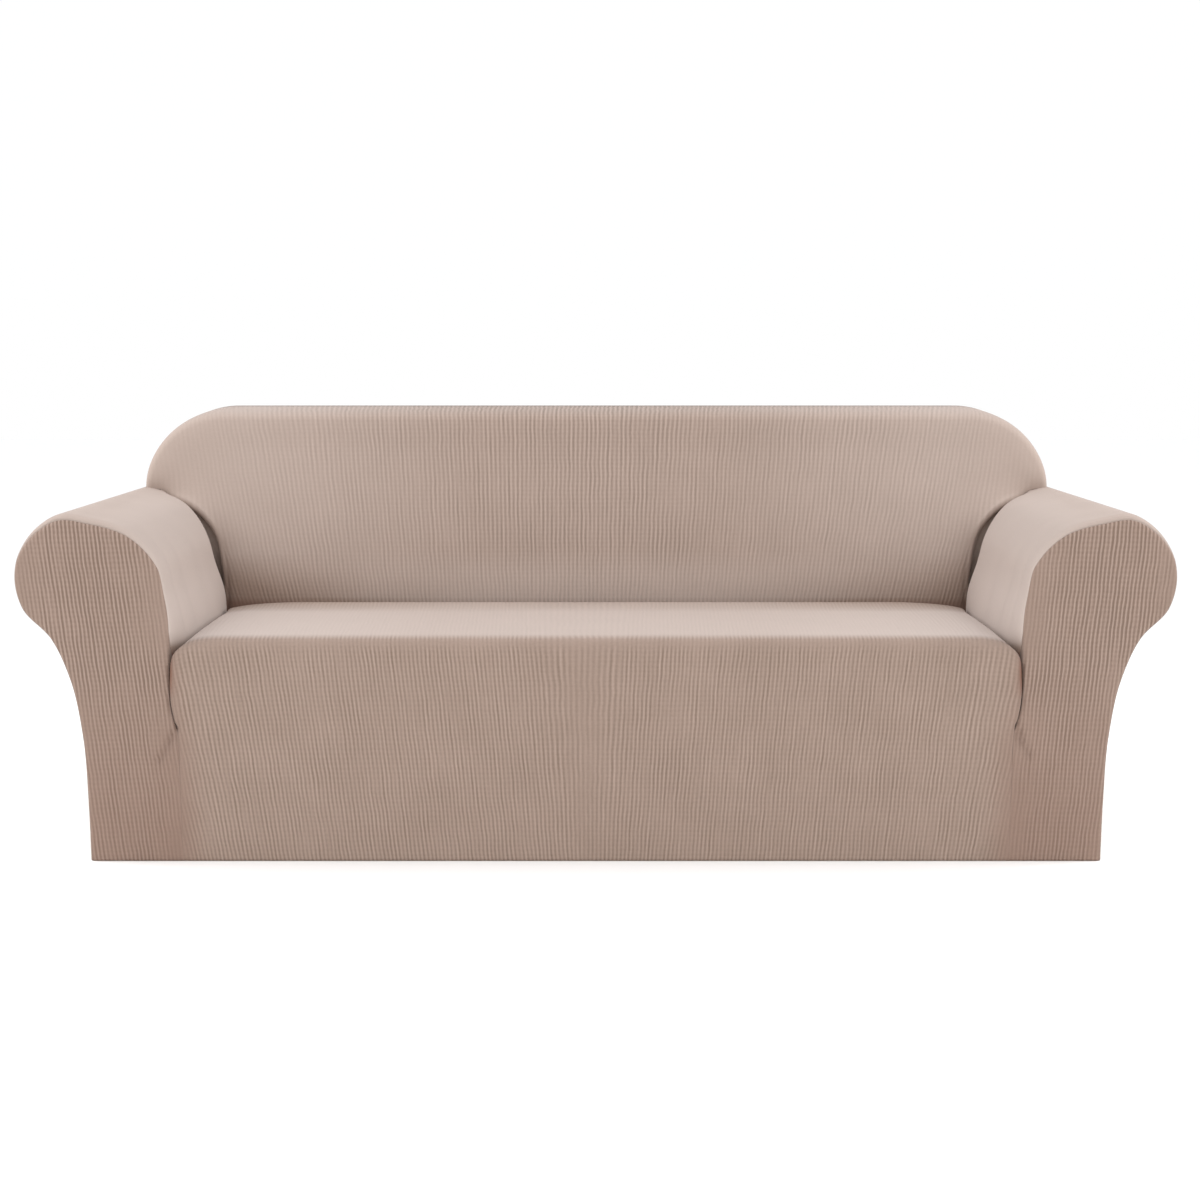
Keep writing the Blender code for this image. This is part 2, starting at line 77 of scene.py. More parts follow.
# The face of an arm front swells a little, most of all below the top.
FACING_CROWN = 0.003
FACING_CROWN_PACE = 1.2
FACING_CROWN_POWER = 6
# Widths of the slits beside the seat and beside the back, and how far the second reaches under its lip.
SIDE_SLIT = 0.014
SLIT_LIP = 0.014
SLIT_REACH = 0.018
# Up the side of the back the columns follow the arm, and only near the top the back's own corner.
SIDE_BLEND_POWER = 4
# The least share of the arm front's turn that is taken where the outline runs upright.
LEAST_UPWARD = 0.3

# Section of an arm seen from the front, from the seat crease over the roll to the hem.
ARM_SECTION = (
    # out,  drop
    (0.000, ARM_HEIGHT - CREASE_HEIGHT),
    (0.000, 0.158),
    (0.016, 0.085),
    (0.065, 0.031),
    (0.140, 0.006),
    (0.191, 0.000),
    (0.234, 0.024),
    (0.269, 0.075),
    (0.276, 0.112),
    (0.264, 0.170),
    (0.213, 0.227),
    (0.181, 0.300),
    (0.161, 0.404),
    (0.154, 0.530),
    (0.152, ARM_HEIGHT - HEM_HEIGHT),
)
CROWN_ROW = 5
# The roll's inner half starts at this place on the outline, where the crease is 0 and the crown 1.
ROLL_START = 0.5

# Sections of the seat panel from the front hem up the skirt, over the front edge and back to the crease: the
# middle, the sides, half the width, how far in from the side the cloth starts to fall, the share of that fall
# that comes in one steep step at the seam, and the rows of mesh up to the next section.
SEAT_SECTIONS = (
    # mid_y,  mid_z,                edge_y, edge_z, half,       roll,  steep, rows
    (0.000, HEM_HEIGHT, 0.000, HEM_HEIGHT, 0.756, 0.060, 0.00, 12),
    (-0.002, 0.130, 0.000, 0.130, 0.757, 0.060, 0.00, 12),
    (-0.004, 0.212, 0.000, 0.210, 0.758, 0.050, 0.00, 9),
    (-0.006, 0.284, 0.002, 0.281, 0.7605, 0.045, 0.20, 9),
    (-0.009, 0.336, 0.007, 0.330, 0.7715, 0.050, 0.40, 10),
    (-0.012, 0.400, 0.008, 0.378, 0.773, 0.060, 0.36, 14),
    (-0.012, SEAT_HEIGHT - 0.014, 0.024, 0.412, 0.769, 0.080, 0.30, 10),
    (-0.006, SEAT_HEIGHT - 0.007, 0.038, 0.412, 0.764, 0.080, 0.33, 8),
    (0.012, SEAT_HEIGHT - 0.003, 0.058, 0.411, 0.759, 0.076, 0.40, 10),
    (0.080, SEAT_HEIGHT + 0.001, 0.112, 0.408, 0.752, 0.068, 0.58, 14),
    (0.200, SEAT_HEIGHT + 0.001, 0.215, 0.404, 0.748, 0.060, 0.74, 22),
    (0.410, SEAT_HEIGHT - 0.004, 0.425, 0.402, 0.754, 0.085, 0.74, 18),
    (0.555, SEAT_HEIGHT - 0.010, 0.566, CREASE_HEIGHT, 0.770, 0.180, 0.55, 8),
    (0.588, 0.438, 0.604, CREASE_HEIGHT, HALF_SEAT, 0.180, 0.45, 7),
    (0.592, 0.408, 0.614, CREASE_HEIGHT, HALF_SEAT, 0.150, 0.20, 4),
    (0.604, CREASE_HEIGHT, 0.622, CREASE_HEIGHT, HALF_SEAT, 0.170, 0.00, 0),
)
FRONT_EDGE_SECTION = 6
SKIRT_ROWS = sum(row[7] for row in SEAT_SECTIONS[:FRONT_EDGE_SECTION])

# Sections up the face of the inside back: how far up, y at the middle, y beside the arm, the width over which
# the side falls from one to the other, how far the arm seam is drawn outwards into the arm and how far behind
# the face it lies, and the y where the inside of the arm starts to turn into it.
BACK_SECTIONS = (
    # up,   mid_y, edge_y, roll,  draw,  slit,  turn_y
    (0.00, 0.604, 0.622, 0.170, 0.000, 0.000, 0.560),
    (0.06, 0.602, 0.626, 0.160, 0.010, 0.008, 0.570),
    (0.13, 0.597, 0.625, 0.140, 0.020, 0.021, 0.562),
    (0.22, 0.596, 0.622, 0.120, 0.028, 0.044, 0.540),
    (0.32, 0.602, 0.618, 0.095, 0.035, 0.052, 0.508),
    (0.43, 0.612, 0.619, 0.080, 0.040, 0.048, 0.486),
    (0.55, 0.625, 0.622, 0.070, 0.042, 0.043, 0.488),
    (0.67, 0.640, 0.628, 0.060, 0.037, 0.036, 0.520),
    (0.79, 0.656, 0.642, 0.055, 0.027, 0.021, 0.566),
    (0.90, 0.669, 0.666, 0.050, 0.014, 0.005, 0.616),
    (1.00, 0.678, 0.696, 0.045, 0.000, 0.000, 0.650),
)
# Columns of the table.
DRAW, TURN_Y = 4, 6

# ---------------------------------------------------------------- rows and columns of mesh
ARM_SPAN_STEPS = 24
BACK_SPAN_ROWS = 5
BACK_FACE_ROWS = BACK_SPAN_ROWS * (len(BACK_SECTIONS) - 1)
BACK_EDGE_ROWS = 18
# The sleeve's rows from the roll's crown to the hem. With those inside the arm and up the skirt they add up
# to an even number, so that both sides of an arm front have the same.
SLEEVE_OUTER_ROWS = 132
FRONT_CORNER_ROWS = 2 * BACK_SPAN_ROWS
# Over these rows up the inside of the arm the sleeve leaves the seat's swollen side.
SWELL_ROWS = 28
FACING_COLUMNS = 48
FACING_COLUMN_PACE = 1.3
# Points that are the same in this many digits are sewn together.
SAME_DIGITS = 6

# The solids' columns, which space the cloth over the back's round corners: distance from the side seam, and
# length round the outline of the back.
SOLID_COLUMNS = np.concatenate([[0.0, 0.006, 0.010, 0.019, 0.034, 0.056, 0.090, 0.135],
                                np.linspace(0.135, HALF_SEAT, 12)[1:]])
CLOSE_COLUMNS = 4
CORNER_COLUMNS = 7

# Columns of mesh by distance from the side seam, close together where the cloth dives into the crease.
NEAR_COLUMNS = (0.0, 0.0015, 0.003, 0.005, 0.007, 0.009, 0.0115, 0.014, 0.017, 0.020, 0.0225, 0.025, 0.028,
                0.031, 0.034, 0.037, 0.040, 0.044, 0.048, 0.053, 0.059, 0.066, 0.075, 0.087, 0.102, 0.118,
                0.135)
FAR_COLUMNS = 54

# ---------------------------------------------------------------- folds and the run of the ribs
# Soft troughs across the inside of each sleeve. Side -1 is the left of the front view.
SLEEVE_FOLDS = (
    # side, y,   width, depth
    (-1, 0.090, 0.016, 0.0022),
    (-1, 0.190, 0.026, 0.0030),
    (-1, 0.350, 0.032, 0.0022),
    (1, 0.070, 0.015, 0.0020),
    (1, 0.160, 0.024, 0.0030),
    (1, 0.300, 0.036, 0.0024),
)
# Rows of the sleeve over which the troughs rise from the crease, and over which they fade to the last row.
FOLD_RISE_ROWS = 12
FOLD_FADE_ROWS = 26
FOLD_LAST_ROW = 52

# Troughs pressed into the front: the pinch fold that hooks outwards at each side, and a soft one below it.
FRONT_FOLDS = (
    # side, x0,    z0,    x1,    z1,    width, depth
    (-1, 0.763, 0.294, 0.778, 0.262, 0.0055, 0.0085),
    (-1, 0.778, 0.262, 0.795, 0.232, 0.0055, 0.0062),
    (-1, 0.770, 0.235, 0.760, 0.090, 0.024, 0.0020),
    (1, 0.766, 0.296, 0.774, 0.266, 0.0055, 0.0085),
    (1, 0.774, 0.266, 0.790, 0.240, 0.0055, 0.0062),
    (1, 0.773, 0.225, 0.762, 0.110, 0.026, 0.0015),
)

# How far the ribs lean outwards for each metre that they run up the cloth, by place across the hem.
SKIRT_FAN = (
    # x,    lean
    (-0.90, -0.230),
    (-0.71, -0.190),
    (-0.62, -0.140),
    (-0.53, -0.125),
    (-0.42, -0.110),
    (-0.28, -0.100),
    (-0.12, -0.085),
    (-0.07, -0.070),
    (0.03, 0.050),
    (0.09, 0.065),
    (0.28, 0.080),
    (0.44, 0.088),
    (0.55, 0.095),
    (0.64, 0.110),
    (0.73, 0.180),
    (0.90, 0.220),
)
# The same up the back, by place across its foot.
BACK_FAN = (
    # x,    lean
    (-1.00, -0.340),
    (-0.64, -0.230),
    (-0.50, -0.140),
    (-0.30, -0.070),
    (-0.15, -0.020),
    (0.02, 0.020),
    (0.17, 0.080),
    (0.35, 0.120),
    (0.50, 0.170),
    (0.64, 0.230),
    (1.00, 0.300),
)
# How strongly the ribs stand, by place across the back.
BACK_RELIEF = (
    # x,    strength
    (-0.90, 0.15),
    (-0.73, 0.50),
    (-0.62, 0.80),
    (-0.35, 0.95),
    (-0.15, 1.15),
    (0.02, 1.30),
    (0.18, 1.00),
    (0.35, 0.85),
    (0.50, 1.00),
    (0.74, 0.80),
    (0.90, 0.20),
)
# The same lean on the arm fronts, by side.
FACING_LEAN = {-1: 0.114, 1: 0.087}
# The back's cloth is stretched this much across.
BACK_STRETCH = 1.15
FAN_SAMPLES = 721
BACK_FAN_REACH = 1.4
BACK_FAN_SAMPLES = 1121

# ---------------------------------------------------------------- the ribs, and the light and shade painted on each panel
# Ribs stand with a strength of 1 where the cloth hangs free. The painted light and shade is above 0 where the
# cloth is painted paler, as if lit, and below 0 where it is painted darker, as if shaded.
# A pair says where a change begins and ends, in metres unless it is a share of the rows or counts them.
# Seat: from the front hem up the cloth (v), past the front edge, before the crease, or in from the side seam.
SEAT_RIBS = 0.88
SEAT_TOP = (0.015, 0.045)
SEAT_TOP_LEAN = 0.45
SEAT_TOP_FLATTENING = 0.62
# Painted light makes the seat's top paler, more towards the sides and less near the rear, where painted shade
# darkens its corners.
SEAT_TOP_PAINTED_LIGHT = 0.54
SEAT_SIDES = (0.3, 0.7)
SEAT_SIDE_PAINTED_LIGHT = 0.22
SEAT_REAR = (0.078, 0.278)
SEAT_REAR_PAINTED_LIGHT = 0.1
SEAT_REAR_PAINTED_SHADE = 0.5
SEAT_SEAM = (0.004, 0.034)
SEAT_SEAM_RIBS = 0.45
FRONT_EDGE_LINE = 0.004
FRONT_EDGE_WIDTH = 0.012
FRONT_EDGE_FLATTENING = 0.7
# The fan of the skirt's ribs opens from a flatter wedge near its middle.
WEDGE_X = -0.020
WEDGE_FOOT = 0.015
WEDGE_SPREAD = 0.05
# How far the wedge is filled: above 1 its middle is level.
WEDGE_FILL = 1.2
WEDGE_TOP = 0.02
WEDGE_FLATTENING = 0.5
# Painted shade darkens the side creases from just before the front edge, and the skirt beside the side seams,
# more towards its foot.
CREASE_START = (-0.10, -0.04)
CREASE_WIDTH = 0.018
CREASE_PAINTED_SHADE = 2.6
SKIRT_FOOT = (0.373, 0.073)
SKIRT_PAINTED_SHADE = 0.20
SKIRT_FOOT_PAINTED_SHADE = 0.20
SKIRT_PAINTED_SHADE_WIDTH = 0.034
# Back: from the middle (x) and from the crease up (z).
# Painted light makes the whole back paler, more at its foot away from the sides, and more up its sides.
BACK_PAINTED_LIGHT = 0.14
BACK_SIDES = (0.25, 0.75)
BACK_SIDES_UP = (0.04, 0.16)
BACK_SIDE_PAINTED_LIGHT = 0.24
BACK_FOOT = (0.16, 0.0)
BACK_FOOT_PAINTED_LIGHT = 0.55
BACK_FOOT_SIDE_LOSS = 0.85
# Painted shade darkens the hollows beside the arms, the left more than the right, and a thin line along the
# foot of the back, more towards the sides.
HOLLOW_ACROSS = (0.48, 0.72)
HOLLOW_UP = (0.15, 0.05)
HOLLOW_PAINTED_SHADE = 0.34
HOLLOW_UNEVEN = 0.10
SHADE_LINE_ACROSS = (0.35, 0.55)
SHADE_LINE_UP = (0.058, 0.046)
SHADE_LINE_MIDDLE = 0.35
SHADE_LINE_DARKENING = 0.6
# Sleeves: by share of their rows, and by rows up from the crease.
SLEEVE_OUTSIDE = (0.5, 0.7)
SLEEVE_RIBS = 0.12
SLEEVE_OUTSIDE_RIBS = 0.75
SLEEVE_INSIDE_ROWS = (56, 16)
# Painted light makes the inside and top of each arm paler, much less on the outside, and painted shade
# darkens the crease beside the seat.
SLEEVE_PAINTED_LIGHT = 0.42
SLEEVE_INSIDE_PAINTED_LIGHT = 0.40
SLEEVE_OUTSIDE_LOSS = 0.8
SLEEVE_CREASE_ROWS = 4.5
SLEEVE_CREASE_PAINTED_SHADE = 2.4
# Arm fronts: from the floor up (z), with the ribs strongest down the middle.
FACING_WIDENS = (0.30, 0.45)
FACING_FOOT_SHARE = 0.55
FACING_HIGH = (0.30, 0.44)
FACING_RIBS = 1.30
FACING_HIGH_RIBS = 0.40
FACING_LEAST_RIBS = 0.12
FACING_RIBS_WIDTH = 0.085
FACING_RIBS_WIDENING = 0.030
# Painted shade darkens the arm fronts, more towards the foot and low down beside the seat seam.
FACING_FOOT = (0.42, 0.12)
FACING_PAINTED_SHADE = 0.20
FACING_FOOT_PAINTED_SHADE = 0.25
FACING_SEAM_UP = (0.38, 0.22)
FACING_SEAM_WIDTH = 0.034
FACING_SEAM_PAINTED_SHADE = 0.04
REAR_RIBS = 0.9

# ---------------------------------------------------------------- the cloth, in metres of the real thing
RIB_PITCH = 0.0073
CELL_PITCH = 0.0090
# One loop of the knit, drawn as coarse as it needs to show.
KNIT_PITCH = 0.0016
# Swings for each metre: the ribs stray over 70 mm, streaks are one or two ribs wide and 110 mm long, the dye
# takes unevenly over 110 mm, and fibre ends speckle it every 4 mm.
WANDER_SCALE = 14.0
STREAK_SCALE = (90.0, 9.0, 0.0)
WANDER = 0.006
STREAK_SWING = 2.6
STREAK_LEAST = -0.3
UNEVEN_DYE = (
    # scale, detail, roughness, contrast
    (9.0, 5.0, 0.6, 0.35),
    (260.0, 2.0, 0.5, 0.25),
)
RIB_DEPTH = 0.0003
RIB_CONTRAST = 0.31
CELL_CONTRAST = 0.14
KNIT_CONTRAST = 0.06
# Painted shade above the start turns the cloth towards the colour painted deep in a crease.
CREASE_SHADE_SHARE = 0.7
CREASE_SHADE_START = 0.6
DARK_THREAD = "#7C6A5D"
PALE_THREAD = "#AA9589"
# Colours of the painted light, of the painted shade, and of the painted shade deep in a crease.
PAINTED_LIGHT_COLOUR = "#C4B6AE"
PAINTED_SHADE_COLOUR = "#83675A"
PAINTED_CREASE_SHADE_COLOUR = "#865940"
WHITE_VINYL = "#FFFEFC"
# The colour sockets of a Mix node, whose names its other kinds share.
MIX_A, MIX_B, MIX_RESULT = 6, 7, 2

# Each piece as it is cut: width, length and, where it isn't a rectangle, its area.
CUT_SIZES = {
    "seat_panel": (1.52, 1.07, None),
    "back_panel": (1.80, 0.62, None),
    "arm": (0.84, 1.01, None),
    "arm_front": (0.29, 0.62, 0.128),
    "rear_panel": (2.05, 0.80, 1.52),
}

# ---------------------------------------------------------------- the studio, in the layout, from the floor
LIGHTS = (
    # name,           size,       place,             aimed at,            watts
    ("left_softbox", (1.6, 1.6), (-2.3, 0.35, 1.9), (0.75, 0.42, 0.5), 27),
    ("right_softbox", (1.6, 1.6), (2.3, 0.35, 1.9), (-0.75, 0.42, 0.5), 27),
    ("front_softbox", (3.2, 1.6), (0.0, -3.4, 3.4), (0.0, 0.4, 0.45), 50),
)
SKY_LEVEL = (1.00, 1.00, 1.00, 1.0)
SKY_TOP = (1.00, 1.03, 1.08, 1.0)
FLOOR_LEFT, FLOOR_RIGHT = -12, 12
FLOOR_FRONT, FLOOR_REAR = -8, 16
FLOOR_CLEARANCE = 0.001
CAMERA_PLACE = (0.0076, -3.7, 0.986)
CAMERA_TIP = 7.06
CAMERA_LENS = 62.07
CAMERA_SENSOR = 36


def through(rows, counts):
    """Points on a smooth curve through the rows of a table, counts[i] of them in span i. Only the first four
    columns, the places, set the pace."""
    rows = np.asarray(rows, float)
    spans = np.linalg.norm(np.diff(rows[:, :4], axis=0), axis=1)[:, None]
    slopes = np.diff(rows, axis=0) / spans
    inner = (slopes[:-1] * spans[1:] + slopes[1:] * spans[:-1]) / (spans[:-1] + spans[1:])
    slopes = np.vstack([slopes[:1], inner, slopes[-1:]])
    points = []
    for i, count in enumerate(counts):
        start, end = rows[i:i + 2]
        leave, arrive = slopes[i] * spans[i], slopes[i + 1] * spans[i]
        t = np.arange(count)[:, None] / count
        points.append(start + leave * t + (3 * (end - start) - 2 * leave - arrive) * t ** 2
                      + (2 * (start - end) + leave + arrive) * t ** 3)
    return np.vstack(points + [rows[-1:]])


def roll_off(distance, width):
    """1 at a seam and 0 where the cloth is level: a padded edge's quarter-round section."""
    across = np.clip(1 - distance / width, 0, 1)
    return 1 - np.sqrt(1 - across ** 2)


def dive(distance, width, lip=0.1):
    """1 at a seam and 0 from width on: the steep wall of a crease, below a round lip."""
    across = np.clip(1 - distance / width, 0, 1)
    return across ** 2 / (across + lip) * (1 + lip)


def smooth(share):
    """Share eased in and out between 0 and 1."""
    share = np.clip(share, 0, 1)
    return share ** 2 * (3 - 2 * share)


def between(value, start, end):
    """0 at start, 1 at end, straight between them and level beyond. The end may be the lower one."""
    return np.clip((value - start) / (end - start), 0, 1)


def bell(distance, width):
    """1 at no distance, fading on either side."""
    return np.exp(-(distance / width) ** 2)


def run_lengths(points):
    """Length along a line of points, or down each column of a grid, from its first point."""
    steps = np.linalg.norm(np.diff(points, axis=0), axis=-1)
    return np.concatenate([np.zeros_like(steps[:1]), np.cumsum(steps, axis=0)])


class ArmSection:
    """The arm's outline by length along it: 0 at the crease, 1 at the crown, 2 at the hem."""

    def __init__(self, steps=ARM_SPAN_STEPS):
        table = np.array(ARM_SECTION)
        breadth = ARM_BREADTH / table[:, 0].max()
        points = np.column_stack([HALF_SEAT + table[:, 0] * breadth, ARM_HEIGHT - table[:, 1]])
        self.points = through(points, [steps] * (len(table) - 1))
        length = run_lengths(self.points)
        crown = CROWN_ROW * steps
        rest = length[crown:] - length[crown]
        self.crown_x = self.points[crown, 0]
        self.place = np.concatenate([length[:crown] / length[crown], 1 + rest / rest[-1]])

    def at(self, place):
        """x and z of places on the outline."""
        return np.array([np.interp(place, self.place, self.points[:, axis]) for axis in (0, 1)])

    def outward(self, place, step=0.01):
        """Unit normal of the outline there, pointing out of the arm."""
        run = self.at(np.minimum(place + step, 2)) - self.at(np.maximum(place - step, 0))
        return np.array([-run[1], run[0]]) / np.hypot(*run)

    def place_of_x(self, x):
        """The place between the inside of the roll and the crown that lies at x."""
        upper = (self.place >= ROLL_START) & (self.place <= 1)
        return np.interp(x, self.points[upper, 0], self.place[upper])


ARM = ArmSection()


def column_offsets():
    """Distance of each column from the side seam, from the seam to the middle."""
    return np.concatenate([NEAR_COLUMNS, np.linspace(NEAR_COLUMNS[-1], HALF_SEAT, FAR_COLUMNS + 1)[1:]])


def fold_depth(side, x, z):
    """How far the folds press the front face in, on one side of the middle."""
    depth = np.zeros(np.broadcast(x, z).shape)
    for fold_side, x0, z0, x1, z1, width, deep in FRONT_FOLDS:
        if fold_side == side:
            run = np.array([x1 - x0, z1 - z0])
            along = np.clip(((x - x0) * run[0] + (z - z0) * run[1]) / run.dot(run), 0, 1)
            gap = np.hypot(x - x0 - along * run[0], z - z0 - along * run[1])
            depth = np.maximum(depth, deep * bell(gap, width))
    return depth


def seat_grid():
    """Rows from the front hem to the crease under the back, columns from left to right."""
    table = np.array(SEAT_SECTIONS)
    sections = through(table[:, :7], table[:-1, 7].astype(int))
    mid_y, mid_z, edge_y, edge_z, half, roll, steep = sections.T[:, :, None]
    offsets = column_offsets()[None]
    share = (1 - steep) * roll_off(offsets, roll) + steep * roll_off(offsets, SIDE_SLIT)
    x = half * (1 - offsets / HALF_SEAT)
    y = mid_y + (edge_y - mid_y) * share
    z = mid_z + (edge_z - mid_z) * share
    left, right = (np.stack([side * x, y + fold_depth(side, x, z), z], axis=2) for side in (-1, 1))
    return np.concatenate([left, right[:, -2::-1]], axis=1)


def rear_edge(share):
    """Share of the inset and of the depth covered, from the face of the back (0) to the rear seam (1)."""
    angle = share * math.pi / 2
    inset = np.sin(angle) ** (2 / BACK_EDGE_POWER)
    back = 1 - np.maximum(np.cos(angle), 0) ** (2 / BACK_EDGE_POWER)
    return inset * (1 - BACK_EDGE_SLOPE * (1 - back)), back + BACK_EDGE_LEAN * inset * (1 - back)


def arm_back_seam():
    """Place on the arm outline, and x, y, z, of each point where the arm sleeve meets the back."""
    up, _, edge_y, _, draw, slit, _ = back_sections().T
    face_x = ARM.crown_x - BACK_EDGE_INSET
    places = up * ARM.place_of_x(face_x)
    x, z = ARM.at(places) - ARM.outward(places) * draw
    inset, back = rear_edge(np.arange(1, BACK_EDGE_ROWS + 1) / BACK_EDGE_ROWS)
    edge_places = ARM.place_of_x(face_x + BACK_EDGE_INSET * inset)
    over_x, over_z = ARM.at(edge_places)
    over_y = edge_y[-1] + (DEPTH - edge_y[-1]) * back
    points = np.vstack([np.column_stack([x, edge_y + slit, z]), np.column_stack([over_x, over_y, over_z])])
    return np.concatenate([places, edge_places]), points


def back_sections():
    return through(BACK_SECTIONS, [BACK_SPAN_ROWS] * (len(BACK_SECTIONS) - 1))


def back_outline(index):
    """x, z and outward direction on the right half of the back's outline, by column number in the solids."""
    centre = np.array([BACK_HALF_WIDTH - BACK_CORNER_RADIUS, BACK_HEIGHT - BACK_CORNER_RADIUS])
    start = math.asin((ARM_HEIGHT - centre[1]) / BACK_CORNER_RADIUS)
    whole = (math.pi / 2 - start) * BACK_CORNER_RADIUS
    corner = np.linspace(SOLID_COLUMNS[CLOSE_COLUMNS], whole, CORNER_COLUMNS + 1)
    half_top = len(SOLID_COLUMNS) - CLOSE_COLUMNS - len(corner)
    top = whole + np.linspace(0, centre[0], half_top + 1)[1:]
    lengths = np.concatenate([SOLID_COLUMNS[:CLOSE_COLUMNS], corner, top])
    length = np.interp(index, np.arange(len(SOLID_COLUMNS)), lengths)
    angle = np.minimum(start + length / BACK_CORNER_RADIUS, math.pi / 2)
    out = np.stack([np.cos(angle), np.sin(angle)], axis=-1)
    points = centre + BACK_CORNER_RADIUS * out
    points[:, 0] -= np.maximum(length - whole, 0)
    return points, out


def half_back(seat, side):
    """One side of the back from its arm seam to the middle, as if it were the right one."""
    sections = back_sections()
    up, mid_y, edge_y, roll, draw, slit, _ = sections.T[:, :, None]
    places, seam = arm_back_seam()
    offsets = column_offsets()
    index = np.interp(offsets, SOLID_COLUMNS, np.arange(len(SOLID_COLUMNS)))
    outline, out = back_outline(index)
    crease = (seat[-1] if side < 0 else seat[-1, ::-1])[:len(offsets)] * (side, 1, 1)
    start = crease[:, [0, 2]][None]
    end = (outline - BACK_EDGE_INSET * out)[None]
    face_rows = len(sections)
    seam_face = seam[:face_rows, [0, 2]][:, None]
    blend = up[:, :, None] ** SIDE_BLEND_POWER
    away = ARM.outward(places[:face_rows]).T[:, None] * offsets[None, :, None] * (1 - blend)
    close = seam_face + away + (end - seam_face[-1:]) * blend
    last_close = np.argmin(np.abs(offsets - SOLID_COLUMNS[CLOSE_COLUMNS]))
    guide = close[:, last_close:last_close + 1]
    bend = guide - guide[:1] - (guide[-1:] - guide[:1]) * up[:, :, None]
    half = len(SOLID_COLUMNS) - 1
    falloff = np.clip((half - index) / (half - CLOSE_COLUMNS), 0, 1)[None, :, None] ** 2
    level = start + (end - start) * up[:, :, None] + bend * falloff
    flat = np.where((offsets <= SOLID_COLUMNS[CLOSE_COLUMNS] + 1e-9)[None, :, None], close, level)
    gap = np.linalg.norm(flat - seam_face, axis=2)
    y = mid_y + (edge_y - mid_y) * roll_off(np.maximum(gap - draw, 0), roll)
    y += slit * roll_off(gap - np.maximum(draw - SLIT_REACH, 0), SLIT_LIP)
    face = np.stack([flat[:, :, 0], y, flat[:, :, 1]], axis=2)
    inset, back = rear_edge(np.arange(1, BACK_EDGE_ROWS + 1) / BACK_EDGE_ROWS)
    over = end + BACK_EDGE_INSET * inset[:, None, None] * out[None]
    over_y = face[-1:, :, 1] + (DEPTH - face[-1:, :, 1]) * back[:, None]
    grid = np.concatenate([face, np.stack([over[:, :, 0], over_y, over[:, :, 1]], axis=2)])
    grid[0] = crease
    grid[:, 0] = seam
    return grid * (side, 1, 1)


def back_grid(seat):
    """Rows from the seat crease up the face and over the top to the rear seam, columns from left to right."""
    left, right = half_back(seat, -1), half_back(seat, 1)
    return np.concatenate([left, right[:, -2::-1]], axis=1)


def sleeve_grid(side, seat):
    """Rows from the seat crease over the roll to the side hem, columns from front to rear."""
    crease = (seat[:, 0] if side < 0 else seat[:, -1])[SKIRT_ROWS:] * (side, 1, 1)
    share = (crease[:, 1] - crease[0, 1]) / (crease[-1, 1] - crease[0, 1])
    seam_places, seam = arm_back_seam()
    inner = len(seam) - 1
    row = np.arange(inner + SLEEVE_OUTER_ROWS + 1)
    outer = np.maximum(row - inner, 0) / SLEEVE_OUTER_ROWS
    front_place = np.minimum(row / inner, 1) + outer
    rear_place = seam_places[np.minimum(row, inner)] + outer
    rear_y = seam[np.minimum(row, inner), 1][:, None]
    sections = back_sections()
    draw, turn_y = (np.interp(row, np.arange(len(sections)), sections[:, part], right=last)[:, None]
                    for part, last in ((DRAW, 0.0), (TURN_Y, sections[-1, TURN_Y])))
    front_y = FACING_TURN + (crease[0, 1] - FACING_TURN) * np.maximum(1 - row / FRONT_CORNER_ROWS, 0)[:, None]
    place = front_place[:, None] + (rear_place - front_place)[:, None] * share
    y = front_y + (rear_y - front_y) * share
    pull = draw * dive(rear_y - y, rear_y - turn_y)
    upward = np.clip(ARM.outward(place)[1], LEAST_UPWARD, 1)
    turn = FACING_TURN_INSET * roll_off(y - front_y, SLEEVE_RIM)
    turn = turn * np.minimum(row / BACK_SPAN_ROWS, 1)[:, None]
    waves = sum(depth * bell(y - fold_y, width)
                for fold_side, fold_y, width, depth in SLEEVE_FOLDS if fold_side == side)
    waves = waves * (smooth(row / FOLD_RISE_ROWS) * smooth((FOLD_LAST_ROW - row) / FOLD_FADE_ROWS))[:, None]
    x, z = ARM.at(place) - ARM.outward(place) * (pull + turn * upward + waves)
    grid = np.stack([x, y, z], axis=2)
    swell = smooth(1 - row / SWELL_ROWS)[:, None, None]
    grid += (crease - grid[:1]) * swell
    grid[:inner + 1, -1] = seam
    return grid * (side, 1, 1)


